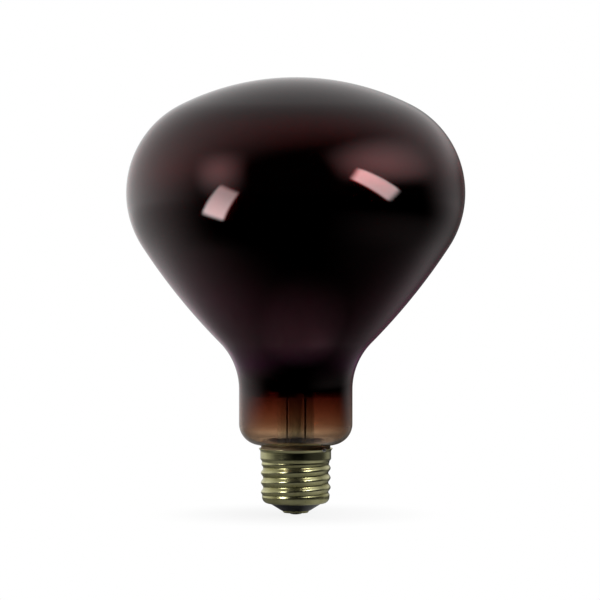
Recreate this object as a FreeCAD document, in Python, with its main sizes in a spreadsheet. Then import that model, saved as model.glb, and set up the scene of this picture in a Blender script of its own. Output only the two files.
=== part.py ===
import FreeCAD, Part
import math
import os
import re

import Sketcher
from FreeCAD import Placement, Rotation, Vector

# Infrared reflector heat lamp: a blown ruby glass bulb on a medium screw base.
# The bulb's axis is Z. Heights are measured up from the tip of the centre contact.

# Driving dimensions, in millimetres and degrees.
DIMENSIONS = {
    # Glass envelope, outside: face dome, shoulder, reflector flank, throat, neck, foot and spigot.
    "bulb_radius": 63.5,
    "reflector_depth": 73.7,
    "face_curve": 96.0,
    "shoulder_curve": 37.0,
    "flank_curve": 230.0,
    "throat_curve": 25.0,
    "neck_radius": 21.3,
    "neck_length": 12.8,
    "foot_curve": 8.0,
    "spigot_curve": 1.5,
    "seal_depth": 5.4,
    "glass_wall": 1.0,
    # Screw shell: turned-in lip, rolled knuckle thread, plain collar and flared rim.
    "shell_wall": 0.3,
    "thread_major": 13.1,
    "thread_depth": 0.85,
    "thread_pitch": 3.629,
    "thread_length": 13.4,
    "thread_runout": 1.8145,
    "thread_shoulder": 1.0,
    "collar_step": 0.2,
    "collar_length": 3.0,
    "rim_overhang": 0.6,
    "rim_flare": 0.9,
    "cement_gap": 1.35,
    "cement_band": 1.3,
    "lip_curve": 2.4,
    "lip_overlap": 0.5,
    # Black glass insulator, centre contact and its solder.
    "nose_radius": 5.4,
    "contact_seat": 1.5,
    "insulator_height": 5.1,
    "lead_hole_radius": 1.2,
    "contact_radius": 4.9,
    "contact_thickness": 0.8,
    "contact_chamfer": 0.4,
    "eyelet_radius": 1.3,
    "solder_radius": 2.6,
    "side_solder_radius": 0.9,
    # Glass stem: flared skirt, tube and flattened press, with the exhaust tube inside it.
    "stem_radius": 7.0,
    "stem_wall": 1.2,
    "flare_height": 7.5,
    "flare_rim": 1.2,
    "flare_gap": 0.2,
    "stem_length": 17.0,
    "press_taper": 7.0,
    "press_length": 6.0,
    "press_width": 16.0,
    "press_thickness": 5.0,
    "exhaust_radius": 2.4,
    "exhaust_wall": 0.9,
    "exhaust_clearance": 4.9,
    # Glass arbor rod and its button.
    "arbor_radius": 1.75,
    "button_radius": 4.0,
    "arbor_length": 22.0,
    "button_height": 4.0,
    # Lead wires, filament and its support wires.
    "lead_radius": 0.35,
    "lead_offset": 4.5,
    "lead_bend": 1.1,
    "lead_rise": 5.6,
    "lead_drop": 6.0,
    "lead_rest": 0.05,
    "filament_rise": 7.0,
    "filament_ring": 12.0,
    "filament_radius": 0.8,
    "filament_angle": 270.0,
    "crimp_length": 1.9,
    "crimp_wall": 0.45,
    "support_radius": 0.2,
    "support_reach": 6.0,
    "support_depth": 1.5,
    "support_eye_gap": 0.15,
    "support_angle": 200.0,
    # Heat shield disc in the neck and the eyelet that grips it to the arbor.
    "shield_radius": 18.0,
    "shield_gap": 3.0,
    "shield_thickness": 0.4,
    "shield_lead_hole": 1.5,
    "grip_wall": 0.55,
    "grip_flange": 0.9,
    "grip_lip": 0.5,
    "grip_skirt": 1.5,
    # Turn of the whole inner mount about the axis, which brings the side solder to the front right.
    "mount_turn": -131.0,
}
SUPPORT_COUNT = 5
THREAD_STEPS_PER_TURN = 8

# Radii that follow from the thread: the shell's collar and rim, its bore, and the spigot cemented into it.
THREAD_MINOR = "(thread_major - thread_depth)"
THREAD_MEAN = "(thread_major - thread_depth / 2)"
COLLAR_RADIUS = "(thread_major + collar_step)"
RIM_RADIUS = f"({COLLAR_RADIUS} + rim_overhang)"
SHELL_BORE = f"({THREAD_MINOR} - shell_wall)"
COLLAR_BORE = f"({COLLAR_RADIUS} - shell_wall)"
SPIGOT_RADIUS = f"({SHELL_BORE} - cement_gap)"

# Heights that follow from the lengths above, from the contact up to the filament.
THREAD_BOTTOM = "(contact_seat + insulator_height)"
THREAD_TOP = f"({THREAD_BOTTOM} + thread_length)"
COLLAR_BOTTOM = f"({THREAD_TOP} + thread_shoulder)"
COLLAR_TOP = f"({COLLAR_BOTTOM} + collar_length)"
RIM_TOP = f"({COLLAR_TOP} + rim_flare)"
SEAL_HEIGHT = f"({RIM_TOP} - seal_depth)"
NECK_BOTTOM = f"({RIM_TOP} + cement_band + foot_curve)"
NECK_TOP = f"({NECK_BOTTOM} + neck_length)"
FLARE_TOP = f"({SEAL_HEIGHT} + flare_height)"
PRESS_BOTTOM = f"({FLARE_TOP} + stem_length)"
PRESS_SHOULDER = f"({PRESS_BOTTOM} + press_taper)"
PRESS_TOP = f"({PRESS_SHOULDER} + press_length)"
SHIELD_BOTTOM = f"({PRESS_TOP} + shield_gap)"
SHIELD_TOP = f"({SHIELD_BOTTOM} + shield_thickness)"
BUTTON_BOTTOM = f"({PRESS_TOP} + arbor_length)"
BUTTON_TOP = f"({BUTTON_BOTTOM} + button_height)"
FILAMENT_HEIGHT = f"({BUTTON_TOP} + filament_rise)"

document = FreeCAD.newDocument("heat_lamp_bulb")
sheet = document.addObject("Spreadsheet::Sheet", "Dimensions")
for row, (alias, number) in enumerate(DIMENSIONS.items(), start=1):
    sheet.set(f"A{row}", alias)
    sheet.set(f"B{row}", str(number))
    sheet.setAlias(f"B{row}", alias)
document.recompute()


def formula(text):
    """The expression with each alias pointed at the sheet."""
    return re.sub(
        r"[a-z_]{3,}",
        lambda word: f"Dimensions.{word[0]}" if word[0] in DIMENSIONS else word[0],
        text,
    )


def size(text):
    """The value of an alias, or of an expression in aliases."""
    return float(sheet.evalExpression(formula(text)))


def bind(item, path, text):
    """Binds a property or a sketch constraint to an expression in aliases."""
    item.setExpression(path, formula(text))


def new_body(name):
    body = document.addObject("PartDesign::Body", name)
    body.Label = name
    return body


def new_sketch(body, name, role="XZ_Plane", height=None):
    """A sketch on one of the body's own origin planes, lifted to a height where one is given."""
    sketch = body.newObject("Sketcher::SketchObject", name)
    plane = next(item for item in body.Origin.OriginFeatures if item.Role == role)
    sketch.AttachmentSupport = [(plane, "")]
    sketch.MapMode = "FlatFace"
    if height:
        bind(sketch, ".AttachmentOffset.Base.z", height)
    return sketch


def dimension(sketch, kind, places, text):
    """Adds one dimension to a sketch and binds it to an expression."""
    index = sketch.addConstraint(Sketcher.Constraint(kind, *places, size(text)))
    bind(sketch, f"Constraints[{index}]", text)


ORIGIN = (-1, 1)


def place_point(sketch, point, across, up):
    """Fixes a sketch point by its distances from the origin. A distance that starts with ~ stays free."""
    for kind, line_kind, text in (("DistanceX", "Vertical", across), ("DistanceY", "Horizontal", up)):
        if text.startswith("~"):
            continue
        if text == "0":
            sketch.addConstraint(Sketcher.Constraint(line_kind, *ORIGIN, *point))
        else:
            dimension(sketch, kind, (*ORIGIN, *point), text)


def section(body, name, corners):
    """A closed outline of lines and arcs in the body's XZ plane.

    Each corner is (across, up), or (across, up, centre across, centre up, turn) where an arc leads to
    the next corner. Turn is "ccw" or "cw". A value that starts with ~ is only where the solver starts.
    """
    sketch = new_sketch(body, name)
    spots = [Vector(size(c[0].lstrip("~")), size(c[1].lstrip("~")), 0) for c in corners]
    for index, corner in enumerate(corners):
        start, end = spots[index], spots[(index + 1) % len(spots)]
        if len(corner) == 2:
            sketch.addGeometry(Part.LineSegment(start, end), False)
            continue
        centre = Vector(size(corner[2]), size(corner[3]), 0)
        first, last = (start, end) if corner[4] == "ccw" else (end, start)
        circle = Part.Circle(centre, Vector(0, 0, 1), (start - centre).Length)
        angles = [math.atan2(p.y - centre.y, p.x - centre.x) for p in (first, last)]
        sketch.addGeometry(Part.ArcOfCircle(circle, *angles), False)
        place_point(sketch, (index, 3), corner[2], corner[3])

    def ends(index):
        backwards = len(corners[index]) > 2 and corners[index][4] == "cw"
        return (2, 1) if backwards else (1, 2)

    for index, corner in enumerate(corners):
        following = (index + 1) % len(corners)
        join = (index, ends(index)[1], following, ends(following)[0])
        sketch.addConstraint(Sketcher.Constraint("Coincident", *join))
        place_point(sketch, (index, ends(index)[0]), corner[0], corner[1])
    return sketch


def revolve(body, sketch, name):
    """Turns a section once about the lamp's axis."""
    feature = body.newObject("PartDesign::Revolution", name)
    feature.Profile = sketch
    feature.ReferenceAxis = (sketch, ["V_Axis"])
    feature.Angle = 360
    document.recompute()
    return feature


def turned_body(name, corners):
    body = new_body(name)
    revolve(body, section(body, f"{name}_section", corners), f"{name}_turned")
    return body


def shape_object(name, shape):
    item = document.addObject("Part::Feature", name)
    item.Label = name
    item.Shape = shape
    return item


def cut_object(name, base, *tools):
    """Base with the tools' shapes taken out of it, one after another."""
    item = base
    for number, tool in enumerate(tools, start=1):
        cut = document.addObject("Part::Cut", f"{name}_cut_{number}")
        cut.Base = item
        cut.Tool = tool
        item = cut
    item.Label = name
    document.recompute()
    return item


def turn_with_mount(item):
    """Turns a piece of the inner mount about the lamp's axis."""
    item.Placement = Placement(Vector(0, 0, 0), Rotation(Vector(0, 0, 1), size("mount_turn")))
    return item


# Outline of the glass


def circle_crossing(first, first_radius, second, second_radius):
    """Where two circles cross, on the left of the way from the first centre to the second."""
    between = second - first
    gap = between.Length
    along = (first_radius**2 - second_radius**2 + gap**2) / (2 * gap)
    aside = math.sqrt(first_radius**2 - along**2)
    unit = between / gap
    return first + unit * along + Vector(unit.y, -unit.x, 0) * aside


def envelope_centres():
    """Centres of the outline's arcs: each arc runs smoothly into the next."""
    throat = Vector(size("neck_radius + throat_curve"), size(NECK_TOP), 0)
    shoulder = Vector(size("bulb_radius - shoulder_curve"), throat.y + size("reflector_depth"), 0)
    face_drop = math.sqrt(size("face_curve - shoulder_curve") ** 2 - shoulder.x**2)
    face = Vector(0, shoulder.y - face_drop, 0)
    flank = circle_crossing(
        shoulder, size("flank_curve - shoulder_curve"), throat, size("flank_curve + throat_curve")
    )
    foot = Vector(size("neck_radius - foot_curve"), size(NECK_BOTTOM), 0)
    spigot_across = size(f"{SPIGOT_RADIUS} + spigot_curve")
    spigot_drop = math.sqrt(size("foot_curve + spigot_curve") ** 2 - (spigot_across - foot.x) ** 2)
    spigot = Vector(spigot_across, foot.y - spigot_drop, 0)
    return face, shoulder, flank, throat, foot, spigot


def along(start, towards, distance):
    return start + (towards - start).normalize() * distance


def arc_between(centre, start, end):
    """The shorter arc round a centre between two points, counter-clockwise, and whether it starts at start."""
    radius = (start - centre).Length
    turn = (start - centre).cross(end - centre).z
    first, last = (start, end) if turn > 0 else (end, start)
    angles = [math.atan2(p.y - centre.y, p.x - centre.x) for p in (first, last)]
    return Part.ArcOfCircle(Part.Circle(centre, Vector(0, 0, 1), radius), *angles), turn > 0


def wall_points(inset):
    """Where the outline's arcs and lines meet, on a wall that lies inside the outer one by the inset."""
    face, shoulder, flank, throat, foot, spigot = envelope_centres()
    return [
        face + Vector(0, size("face_curve") - inset, 0),
        along(face, shoulder, size("face_curve") - inset),
        along(flank, shoulder, size("flank_curve") - inset),
        along(throat, flank, size("throat_curve") + inset),
        Vector(size("neck_radius") - inset, throat.y, 0),
        Vector(size("neck_radius") - inset, foot.y, 0),
        along(spigot, foot, size("spigot_curve") + inset),
        Vector(size(SPIGOT_RADIUS) - inset, spigot.y, 0),
        Vector(size(SPIGOT_RADIUS) - inset, size(SEAL_HEIGHT), 0),
    ]


def glass_envelope():
    """One blown wall: the outer outline, and the same outline a glass thickness further in."""
    body = new_body("glass_envelope")
    sketch = new_sketch(body, "envelope_section")
    centres = envelope_centres()
    outer, inner = wall_points(0), wall_points(size("glass_wall"))
    arc_centre = {0: centres[0], 1: centres[1], 2: centres[2], 3: centres[3], 5: centres[4], 6: centres[5]}
    links = []

    def add_wall(points):
        """Adds one wall's arcs and lines, from the crown down to the seal."""
        for step in range(len(points) - 1):
            if step in arc_centre:
                piece, forward = arc_between(arc_centre[step], points[step], points[step + 1])
            else:
                piece, forward = Part.LineSegment(points[step], points[step + 1]), True
            index = sketch.addGeometry(piece, False)
            links.append((index, 1, 2) if forward else (index, 2, 1))

    add_wall(outer)
    count = len(outer) - 1
    add_wall(inner)
    seal = sketch.addGeometry(Part.LineSegment(outer[-1], inner[-1]), False)
    crown = sketch.addGeometry(Part.LineSegment(inner[0], outer[0]), False)

    for first in (0, count):
        for step in range(count - 1):
            above, below = links[first + step], links[first + step + 1]
            join = (above[0], above[2], below[0], below[1])
            sketch.addConstraint(Sketcher.Constraint("Tangent", *join))
        for step in (4, 7):
            sketch.addConstraint(Sketcher.Constraint("Vertical", links[first + step][0]))
        crown_point = (links[first][0], links[first][1])
        sketch.addConstraint(Sketcher.Constraint("PointOnObject", *crown_point, -2))
    for step in arc_centre:
        pair = (links[step][0], 3, links[count + step][0], 3)
        sketch.addConstraint(Sketcher.Constraint("Coincident", *pair))
    sketch.addConstraint(Sketcher.Constraint("PointOnObject", links[0][0], 3, -2))
    last_outer, last_inner = links[count - 1], links[2 * count - 1]
    first_outer, first_inner = links[0], links[count]
    for join in (
        (last_outer[0], last_outer[2], seal, 1),
        (seal, 2, last_inner[0], last_inner[2]),
        (first_inner[0], first_inner[1], crown, 1),
        (crown, 2, first_outer[0], first_outer[1]),
    ):
        sketch.addConstraint(Sketcher.Constraint("Coincident", *join))
    sketch.addConstraint(Sketcher.Constraint("Horizontal", seal))

    for step, name in enumerate(("face", "shoulder", "flank", "throat", None, "foot", "spigot")):
        if name:
            dimension(sketch, "Radius", (links[step][0],), f"{name}_curve")
    dimension(sketch, "DistanceX", (*ORIGIN, links[1][0], 3), "bulb_radius - shoulder_curve")
    dimension(sketch, "DistanceY", (links[3][0], 3, links[1][0], 3), "reflector_depth")
    dimension(sketch, "DistanceX", (*ORIGIN, links[4][0], 1), "neck_radius")
    dimension(sketch, "DistanceY", (*ORIGIN, links[3][0], 3), NECK_TOP)
    dimension(sketch, "DistanceY", (*ORIGIN, links[5][0], 3), NECK_BOTTOM)
    dimension(sketch, "DistanceX", (*ORIGIN, links[7][0], 1), SPIGOT_RADIUS)
    dimension(sketch, "DistanceY", (*ORIGIN, seal, 1), SEAL_HEIGHT)
    dimension(sketch, "DistanceY", (crown, 1, crown, 2), "glass_wall")
    revolve(body, sketch, "envelope_blown")
    return body


# Screw base

LIP_CENTRE = f"{THREAD_MEAN} - lip_curve"
LIP_BOTTOM = f"{THREAD_BOTTOM} - lip_curve"


def thread_blank():
    """A stack of equal circles whose centres wind up a slim helix, which gives the rolled knuckle thread.

    The helix starts and ends on the axis, so the thread runs out smoothly at both ends.
    """
    bottom, pitch = size(THREAD_BOTTOM), size("thread_pitch")
    turns = size("thread_length") / pitch
    depth = size("thread_depth") / 2
    steps = max(2, round(turns * THREAD_STEPS_PER_TURN))
    rings = []
    for step in range(steps + 1):
        turn = turns * step / steps
        ramp = min(1, pitch * min(turn, turns - turn) / size("thread_runout"))
        off_axis = depth * ramp * ramp * (3 - 2 * ramp)
        angle = 2 * math.pi * turn
        centre = Vector(off_axis * math.cos(angle), off_axis * math.sin(angle), bottom + pitch * turn)
        rings.append(Part.Wire([Part.makeCircle(size(THREAD_MEAN), centre)]))
    return shape_object("thread_blank", Part.makeLoft(rings, True, True))


def screw_shell():
    """Thin brass shell: lip turned in under the insulator, thread, collar and flared rim."""
    lip_inside = f"{THREAD_MEAN} - shell_wall"
    lip = turned_body(
        "shell_lip",
        [
            (f"{LIP_CENTRE} - lip_overlap", LIP_BOTTOM),
            (LIP_CENTRE, f"~{LIP_BOTTOM}", LIP_CENTRE, THREAD_BOTTOM, "ccw"),
            (THREAD_MEAN, THREAD_BOTTOM),
            (lip_inside, THREAD_BOTTOM, LIP_CENTRE, THREAD_BOTTOM, "cw"),
            (LIP_CENTRE, f"~{LIP_BOTTOM} + shell_wall"),
            (f"{LIP_CENTRE} - lip_overlap", f"{LIP_BOTTOM} + shell_wall"),
        ],
    )
    collar = turned_body(
        "shell_collar",
        [
            (SHELL_BORE, THREAD_TOP),
            (THREAD_MEAN, THREAD_TOP),
            (COLLAR_RADIUS, COLLAR_BOTTOM),
            (COLLAR_RADIUS, COLLAR_TOP),
            (RIM_RADIUS, RIM_TOP),
            (f"{RIM_RADIUS} - shell_wall", RIM_TOP),
            (COLLAR_BORE, COLLAR_TOP),
            (COLLAR_BORE, COLLAR_BOTTOM),
        ],
    )
    bore = document.addObject("Part::Cylinder", "thread_bore")
    bind(bore, "Radius", SHELL_BORE)
    bind(bore, "Height", THREAD_TOP)
    sleeve = cut_object("thread_sleeve", thread_blank(), bore)
    shell = document.addObject("Part::MultiFuse", "screw_shell")
    shell.Shapes = [lip, sleeve, collar]
    shell.Label = "screw_shell"
    document.recompute()
    return shell


def base_insulator():
    """Black glass cast into the shell's lip, tapering to the flat that carries the contact."""
    return turned_body(
        "base_insulator",
        [
            ("lead_hole_radius", "contact_seat"),
            ("nose_radius", "contact_seat"),
            (f"{LIP_CENTRE} - lip_overlap", LIP_BOTTOM),
            (f"{LIP_CENTRE} - lip_overlap", f"{LIP_BOTTOM} + shell_wall"),
            (LIP_CENTRE, f"~{LIP_BOTTOM} + shell_wall", LIP_CENTRE, THREAD_BOTTOM, "ccw"),
            (f"{THREAD_MEAN} - shell_wall", THREAD_BOTTOM),
            ("lead_hole_radius", THREAD_BOTTOM),
        ],
    )


CONTACT_FACE = "contact_seat - contact_thickness"


def centre_contact():
    """Brass contact plate with a chamfered rim and an eyelet for the lead."""
    return turned_body(
        "centre_contact",
        [
            ("eyelet_radius", CONTACT_FACE),
            ("contact_radius - contact_chamfer", CONTACT_FACE),
            ("contact_radius", f"{CONTACT_FACE} + contact_chamfer"),
            ("contact_radius", "contact_seat"),
            ("eyelet_radius", "contact_seat"),
        ],
    )


def contact_solder(lead):
    """Solder cap that fills the eyelet and rounds off the tip, holding the end of the lead."""
    dome = f"(solder_radius ^ 2 + ({CONTACT_FACE}) ^ 2) / (2 * ({CONTACT_FACE}))"
    blank = turned_body(
        "contact_solder_blank",
        [
            ("0", "0", "0", dome, "ccw"),
            ("solder_radius", f"~{CONTACT_FACE}"),
            ("eyelet_radius", CONTACT_FACE),
            ("eyelet_radius", "contact_seat"),
            ("0", "contact_seat"),
        ],
    )
    return cut_object("contact_solder", blank, lead)


def basing_cement(lead):
    """Cement between collar and glass, rising into the corner under the bulb's foot."""
    _, _, _, _, foot, spigot = envelope_centres()
    meeting = along(spigot, foot, size("spigot_curve"))
    body = new_body("basing_cement_blank")
    sketch = new_sketch(body, "cement_section")
    reach = size(COLLAR_BORE)
    foot_radius = size("foot_curve")
    edge = Vector(reach, foot.y - math.sqrt(foot_radius**2 - (reach - foot.x) ** 2), 0)
    low_inside = Vector(size(SPIGOT_RADIUS), size(COLLAR_BOTTOM), 0)
    low_outside = Vector(reach, size(COLLAR_BOTTOM), 0)
    fillet_start = Vector(size(SPIGOT_RADIUS), spigot.y, 0)
    fillet, fillet_forward = arc_between(spigot, fillet_start, meeting)
    under_foot, foot_forward = arc_between(foot, meeting, edge)
    for piece in (
        Part.LineSegment(low_inside, low_outside),
        Part.LineSegment(low_outside, edge),
        under_foot,
        fillet,
        Part.LineSegment(fillet_start, low_inside),
    ):
        sketch.addGeometry(piece, False)
    foot_near, foot_far = (1, 2) if foot_forward else (2, 1)
    fillet_near, fillet_far = (1, 2) if fillet_forward else (2, 1)
    for join in ((0, 2, 1, 1), (1, 2, 2, foot_far), (4, 2, 0, 1)):
        sketch.addConstraint(Sketcher.Constraint("Coincident", *join))
    for join in ((2, foot_near, 3, fillet_far), (3, fillet_near, 4, 1)):
        sketch.addConstraint(Sketcher.Constraint("Tangent", *join))
    sketch.addConstraint(Sketcher.Constraint("Horizontal", 0))
    sketch.addConstraint(Sketcher.Constraint("Vertical", 1))
    sketch.addConstraint(Sketcher.Constraint("Vertical", 4))
    dimension(sketch, "DistanceX", (*ORIGIN, 0, 1), SPIGOT_RADIUS)
    dimension(sketch, "DistanceY", (*ORIGIN, 0, 1), COLLAR_BOTTOM)
    dimension(sketch, "DistanceX", (*ORIGIN, 0, 2), COLLAR_BORE)
    dimension(sketch, "Radius", (2,), "foot_curve")
    dimension(sketch, "Radius", (3,), "spigot_curve")
    dimension(sketch, "DistanceX", (*ORIGIN, 2, 3), "neck_radius - foot_curve")
    dimension(sketch, "DistanceY", (*ORIGIN, 2, 3), NECK_BOTTOM)
    revolve(body, sketch, "cement_ring")
    return cut_object("basing_cement", body, lead)


def side_solder(*neighbours):
    """Blob that joins the side lead to the flared rim."""
    reach, height = size(RIM_RADIUS), size(RIM_TOP)
    blob = document.addObject("Part::Sphere", "side_solder_blob")
    bind(blob, "Radius", "side_solder_radius")
    blob.Placement = Placement(
        Rotation(Vector(0, 0, 1), size("mount_turn")).multVec(Vector(0, reach, height)), Rotation()
    )
    return cut_object("side_solder", blob, *neighbours)


# Stem


def stem():
    """Flared skirt fused under the bulb's spigot, its tube, and the flattened press that grips the leads."""
    body = new_body("stem_blank")
    rim_inner = f"({SPIGOT_RADIUS} - glass_wall - flare_gap)"
    run = f"({rim_inner} - stem_radius)"
    flare_curve = f"(flare_height ^ 2 + {run} ^ 2) / (2 * {run})"
    flare_centre = f"stem_radius + {flare_curve}"
    sketch = section(
        body,
        "stem_section",
        [
            ("stem_radius - stem_wall", PRESS_BOTTOM),
            ("stem_radius - stem_wall", FLARE_TOP, flare_centre, FLARE_TOP, "ccw"),
            (f"~{rim_inner} - stem_wall / 2", f"{SEAL_HEIGHT} - flare_rim"),
            (SPIGOT_RADIUS, f"{SEAL_HEIGHT} - flare_rim"),
            (SPIGOT_RADIUS, SEAL_HEIGHT),
            (f"~{rim_inner}", SEAL_HEIGHT, flare_centre, FLARE_TOP, "cw"),
            ("stem_radius", FLARE_TOP),
            ("stem_radius", PRESS_BOTTOM),
        ],
    )
    revolve(body, sketch, "stem_tube")
    mouth = new_sketch(body, "press_mouth", "XY_Plane", PRESS_BOTTOM)
    mouth.addGeometry(Part.Circle(Vector(0, 0, 0), Vector(0, 0, 1), size("stem_radius")), False)
    mouth.addConstraint(Sketcher.Constraint("Coincident", 0, 3, *ORIGIN))
    dimension(mouth, "Radius", (0,), "stem_radius")
    flat = press_outline(body, "press_flat", PRESS_SHOULDER)
    document.recompute()
    shoulder = body.newObject("PartDesign::AdditiveLoft", "press_shoulder_loft")
    shoulder.Profile = mouth
    shoulder.Sections = [flat]
    document.recompute()
    pad = body.newObject("PartDesign::Pad", "press_pad")
    pad.Profile = press_outline(body, "press_pad_outline", PRESS_SHOULDER)
    bind(pad, "Length", "press_length")
    document.recompute()
    return turn_with_mount(body)


def press_outline(body, name, height):
    """Round-ended slot, long across the leads."""
    sketch = new_sketch(body, name, "XY_Plane", height)
    radius = size("press_thickness") / 2
    reach = size("press_width") / 2 - radius
    axis = Vector(0, 0, 1)
    far, near = Vector(0, reach, 0), Vector(0, -reach, 0)
    across = Vector(radius, 0, 0)
    for piece in (
        Part.ArcOfCircle(Part.Circle(far, axis, radius), 0, math.pi),
        Part.LineSegment(far - across, near - across),
        Part.ArcOfCircle(Part.Circle(near, axis, radius), math.pi, 2 * math.pi),
        Part.LineSegment(near + across, far + across),
    ):
        sketch.addGeometry(piece, False)
    for join in ((0, 2, 1, 1), (1, 2, 2, 1), (2, 2, 3, 1), (3, 2, 0, 1)):
        sketch.addConstraint(Sketcher.Constraint("Tangent", *join))
    for centre in (0, 2):
        sketch.addConstraint(Sketcher.Constraint("PointOnObject", centre, 3, -2))
    dimension(sketch, "Radius", (0,), "press_thickness / 2")
    dimension(sketch, "DistanceY", (*ORIGIN, 0, 3), "(press_width - press_thickness) / 2")
    dimension(sketch, "DistanceY", (2, 3, *ORIGIN), "(press_width - press_thickness) / 2")
    return sketch


def exhaust_tube():
    """Thin tube fused to the press, with a rounded sealed tip inside the base."""
    bore = "exhaust_radius - exhaust_wall"
    tip = f"({THREAD_BOTTOM} + exhaust_clearance)"
    tip_centre = f"({tip} + exhaust_radius)"
    return turned_body(
        "exhaust_tube",
        [
            ("0", tip, "0", tip_centre, "ccw"),
            ("~exhaust_radius", tip_centre),
            ("exhaust_radius", PRESS_BOTTOM),
            (bore, PRESS_BOTTOM),
            (bore, tip_centre, "0", tip_centre, "cw"),
            ("0", f"~{tip_centre} - ({bore})"),
        ],
    )


def arbor_rod():
    """Solid glass rod on the press, melted to a button at its head."""
    return turned_body(
        "arbor_blank",
        [
            ("0", PRESS_TOP),
            ("arbor_radius", PRESS_TOP),
            ("arbor_radius", BUTTON_BOTTOM),
            ("button_radius - button_height / 4", BUTTON_BOTTOM),
            ("button_radius", f"{BUTTON_BOTTOM} + button_height / 4"),
            ("button_radius", f"{BUTTON_TOP} - button_height / 4"),
            ("button_radius - button_height / 4", BUTTON_TOP),
            ("0", BUTTON_TOP),
        ],
    )


# Wires


def rounded_wire(points, bend):
    """Straight runs between the points, joined by tangent arcs of the bend radius."""
    edges = []
    start = points[0]
    for before, corner, after in zip(points, points[1:], points[2:]):
        back = (before - corner).normalize()
        forth = (after - corner).normalize()
        half = math.acos(max(-1, min(1, back.dot(forth)))) / 2
        reach = bend / math.tan(half)
        middle = (back + forth).normalize()
        first, last = corner + back * reach, corner + forth * reach
        top = corner + middle * (bend / math.sin(half) - bend)
        edges.append(Part.LineSegment(start, first).toShape())
        edges.append(Part.Arc(first, top, last).toShape())
        start = last
    edges.append(Part.LineSegment(start, points[-1]).toShape())
    return Part.Wire(edges)


def wire_solid(points, radius, bend):
    """Round wire along a rounded route."""
    route = rounded_wire(points, bend)
    profile = Part.Wire([Part.makeCircle(radius, points[0], points[1] - points[0])])
    return route.makePipeShell([profile], True, False)


def ring_spot(angle, radius, height):
    turn = math.radians(angle)
    return Vector(radius * math.cos(turn), radius * math.sin(turn), height)


def ring_piece(radius, hole, start, sweep):
    """Stretch of a ring round the axis at the filament's height, hollow where a hole is given."""
    ring, height = size("filament_ring"), size(FILAMENT_HEIGHT)
    normal = Vector(0, 1, 0)
    face = Part.Face(Part.Wire([Part.makeCircle(radius, Vector(ring, 0, height), normal)]))
    if hole:
        face = face.cut(Part.Face(Part.Wire([Part.makeCircle(hole, Vector(ring, 0, height), normal)])))
    axis = Vector(0, 0, 1)
    return face.revolve(Vector(0, 0, 0), axis, sweep).rotate(Vector(0, 0, 0), axis, start)


def filament():
    """Tungsten coil held in an open ring, as its outer shape."""
    body = new_body("filament")
    sketch = new_sketch(body, "filament_section")
    centre = Vector(size("filament_ring"), size(FILAMENT_HEIGHT), 0)
    sketch.addGeometry(Part.Circle(centre, Vector(0, 0, 1), size("filament_radius")), False)
    place_point(sketch, (0, 3), "filament_ring", FILAMENT_HEIGHT)
    dimension(sketch, "Radius", (0,), "filament_radius")
    coil = body.newObject("PartDesign::Revolution", "filament_ring_turned")
    coil.Profile = sketch
    coil.ReferenceAxis = (sketch, ["V_Axis"])
    coil.Midplane = True
    bind(coil, "Angle", "filament_angle")
    document.recompute()
    return turn_with_mount(body)


def crimp_angle():
    """Angle that a crimp covers on the filament's ring."""
    return math.degrees(size("crimp_length / filament_ring"))


def lead_upper_points(side):
    """Route of a lead from its crimp on the filament's end down to the height of the shield."""
    end = side * (size("filament_angle") - crimp_angle()) / 2
    ring, height = size("filament_ring"), size(FILAMENT_HEIGHT)
    join = height - size("filament_radius + crimp_wall / 2")
    offset = side * size("lead_offset")
    return [
        ring_spot(end, ring, join),
        ring_spot(end, ring, height - size("lead_drop")),
        Vector(0, offset, size(f"{SHIELD_TOP} + lead_rise")),
    ]


def lead_with_crimp(name, side, lower_points):
    """One lead, from the sleeve crimped round the filament's end down to its soldered end."""
    wire = wire_solid(lead_upper_points(side) + lower_points, size("lead_radius"), size("lead_bend"))
    sweep = crimp_angle()
    end = size("filament_angle") / 2
    start = end - sweep if side > 0 else -end
    radius = size("filament_radius")
    crimp = ring_piece(radius + size("crimp_wall"), radius, start, sweep)
    return turn_with_mount(shape_object(name, wire.fuse(crimp)))


def side_lead():
    """Runs down through the press, out under the flare, up inside the shell and over its rim."""
    offset = size("lead_offset")
    under = size(f"{SEAL_HEIGHT} - flare_rim - 4 * lead_radius")
    channel = size(f"{SHELL_BORE} - cement_gap / 2")
    over = size(f"{RIM_TOP} + lead_radius + lead_rest")
    return lead_with_crimp(
        "side_lead",
        1,
        [
            Vector(0, offset, under),
            Vector(0, channel, under),
            Vector(0, channel, over),
            Vector(0, size(RIM_RADIUS), over),
        ],
    )


def centre_lead():
    """Runs down through the press, past the exhaust tip and through the insulator into the tip solder."""
    offset = -size("lead_offset")
    return lead_with_crimp(
        "centre_lead",
        -1,
        [
            Vector(0, offset, size(f"{THREAD_BOTTOM} + lead_offset")),
            Vector(0, 0, size(f"{THREAD_BOTTOM} + lead_bend")),
            Vector(0, 0, size(f"({CONTACT_FACE}) / 2")),
        ],
    )


def support_angles():
    """Even spread of the supports along the filament."""
    spread = size("support_angle")
    return [-spread / 2 + spread * step / (SUPPORT_COUNT - 1) for step in range(SUPPORT_COUNT)]


def support_wire(number, angle):
    """Fine wire from the button, ending in an eye round the filament."""
    radius = size("support_radius")
    ring, height = size("filament_ring"), size(FILAMENT_HEIGHT)
    eye = size("filament_radius + support_eye_gap + support_radius")
    middle = size(f"{BUTTON_BOTTOM} + button_height / 2")
    points = [
        ring_spot(angle, size("button_radius - support_depth"), middle),
        ring_spot(angle, size("support_reach"), middle),
        ring_spot(angle, ring, height - eye),
    ]
    wire = wire_solid(points, radius, size("lead_bend"))
    along_filament = ring_spot(angle + 90, 1, 0)
    loop = Part.makeTorus(eye, radius, ring_spot(angle, ring, height), along_filament)
    return turn_with_mount(shape_object(f"support_wire_{number}", wire.fuse(loop)))


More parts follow.
